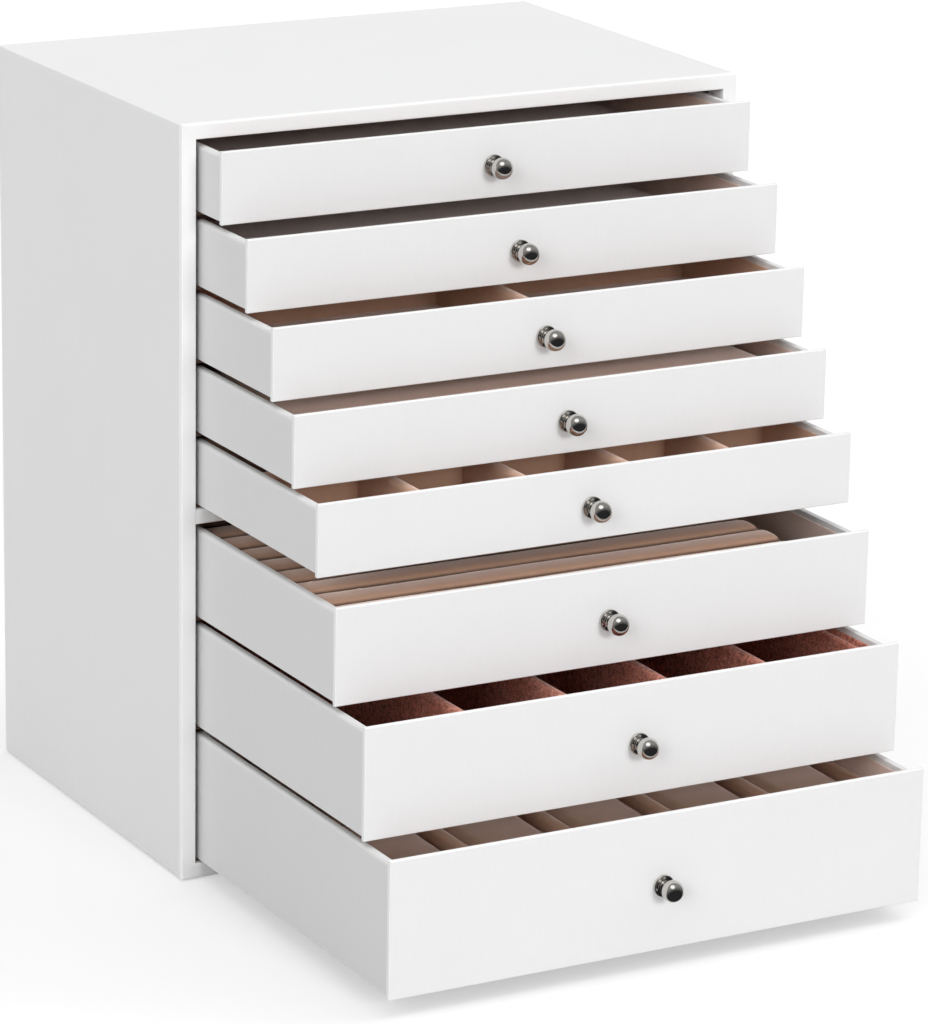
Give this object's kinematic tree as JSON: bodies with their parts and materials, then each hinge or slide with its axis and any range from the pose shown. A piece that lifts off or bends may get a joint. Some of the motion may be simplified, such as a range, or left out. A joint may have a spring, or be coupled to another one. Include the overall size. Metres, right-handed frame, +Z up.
{
  "type": "jewelry drawer organizer",
  "caption": "White wrapped jewelry case with a stack of sliding drawers, round metal knobs and velvet trays, dividers, ring rolls and pillows.",
  "frame": {"origin": "middle of the underside of the felt sheet that the case rests on", "axes": "+X to the right seen from the front, +Y towards the back, +Z up; the drawers slide out along -Y"},
  "size_m": [0.34, 0.4808, 0.421],
  "materials": {
    "white_leatherette": "white leatherette wrap with a fine vertical grain, satin",
    "brown_velvet": "short brown velvet with a soft pinkish sheen",
    "brown_board": "thin hardboard covered in dark brown paper, matt",
    "polished_metal": "polished nickel",
    "zinc_screw": "zinc-plated steel",
    "dark_felt": "thin dark felt, matt"
  },
  "bodies": {
    "cabinet": {"cabinet_top": "white_leatherette", "cabinet_bottom": "white_leatherette", "cabinet_left_side": "white_leatherette", "cabinet_right_side": "white_leatherette", "cabinet_back": "white_leatherette", "middle_shelf": "white_leatherette", "thin_shelves": "brown_board", "cabinet_lining": "brown_board", "glide_boards": "brown_board", "base_felt": "dark_felt"},
    "drawer_1": {"drawer_1_front": "white_leatherette", "drawer_1_box": "white_leatherette", "drawer_1_lining": "brown_velvet", "drawer_1_knob": "polished_metal", "drawer_1_screw": "zinc_screw"},
    "drawer_2": {"drawer_2_front": "white_leatherette", "drawer_2_box": "white_leatherette", "drawer_2_lining": "brown_velvet", "drawer_2_knob": "polished_metal", "drawer_2_screw": "zinc_screw"},
    "drawer_3": {"drawer_3_front": "white_leatherette", "drawer_3_box": "white_leatherette", "drawer_3_lining": "brown_velvet", "drawer_3_knob": "polished_metal", "drawer_3_screw": "zinc_screw", "drawer_3_dividers": "brown_velvet"},
    "drawer_4": {"drawer_4_front": "white_leatherette", "drawer_4_box": "white_leatherette", "drawer_4_lining": "brown_velvet", "drawer_4_knob": "polished_metal", "drawer_4_screw": "zinc_screw", "drawer_4_cushion": "brown_velvet"},
    "drawer_5": {"drawer_5_front": "white_leatherette", "drawer_5_box": "white_leatherette", "drawer_5_lining": "brown_velvet", "drawer_5_knob": "polished_metal", "drawer_5_screw": "zinc_screw", "drawer_5_dividers": "brown_velvet"},
    "drawer_6": {"drawer_6_front": "white_leatherette", "drawer_6_box": "white_leatherette", "drawer_6_lining": "brown_velvet", "drawer_6_knob": "polished_metal", "drawer_6_screw": "zinc_screw", "drawer_6_ring_rolls": "brown_velvet", "drawer_6_roll_base": "brown_velvet"},
    "drawer_7": {"drawer_7_front": "white_leatherette", "drawer_7_box": "white_leatherette", "drawer_7_lining": "brown_velvet", "drawer_7_knob": "polished_metal", "drawer_7_screw": "zinc_screw", "drawer_7_dividers": "brown_velvet"},
    "drawer_8": {"drawer_8_front": "white_leatherette", "drawer_8_box": "white_leatherette", "drawer_8_lining": "brown_velvet", "drawer_8_knob": "polished_metal", "drawer_8_screw": "zinc_screw", "drawer_8_dividers": "brown_velvet", "drawer_8_pillows": "brown_velvet"}
  },
  "joints": [
    {"name": "drawer_1_slide", "type": "slide", "parent": "cabinet", "child": "drawer_1", "axis": [0, -1, 0], "range_m": [-0.0297, 0.1973]},
    {"name": "drawer_2_slide", "type": "slide", "parent": "cabinet", "child": "drawer_2", "axis": [0, -1, 0], "range_m": [-0.0602, 0.1668]},
    {"name": "drawer_3_slide", "type": "slide", "parent": "cabinet", "child": "drawer_3", "axis": [0, -1, 0], "range_m": [-0.09, 0.137]},
    {"name": "drawer_4_slide", "type": "slide", "parent": "cabinet", "child": "drawer_4", "axis": [0, -1, 0], "range_m": [-0.1149, 0.1121]},
    {"name": "drawer_5_slide", "type": "slide", "parent": "cabinet", "child": "drawer_5", "axis": [0, -1, 0], "range_m": [-0.1422, 0.0848]},
    {"name": "drawer_6_slide", "type": "slide", "parent": "cabinet", "child": "drawer_6", "axis": [0, -1, 0], "range_m": [-0.163, 0.064]},
    {"name": "drawer_7_slide", "type": "slide", "parent": "cabinet", "child": "drawer_7", "axis": [0, -1, 0], "range_m": [-0.1964, 0.0306]},
    {"name": "drawer_8_slide", "type": "slide", "parent": "cabinet", "child": "drawer_8", "axis": [0, -1, 0], "range_m": [-0.225, 0.002]}
  ]
}
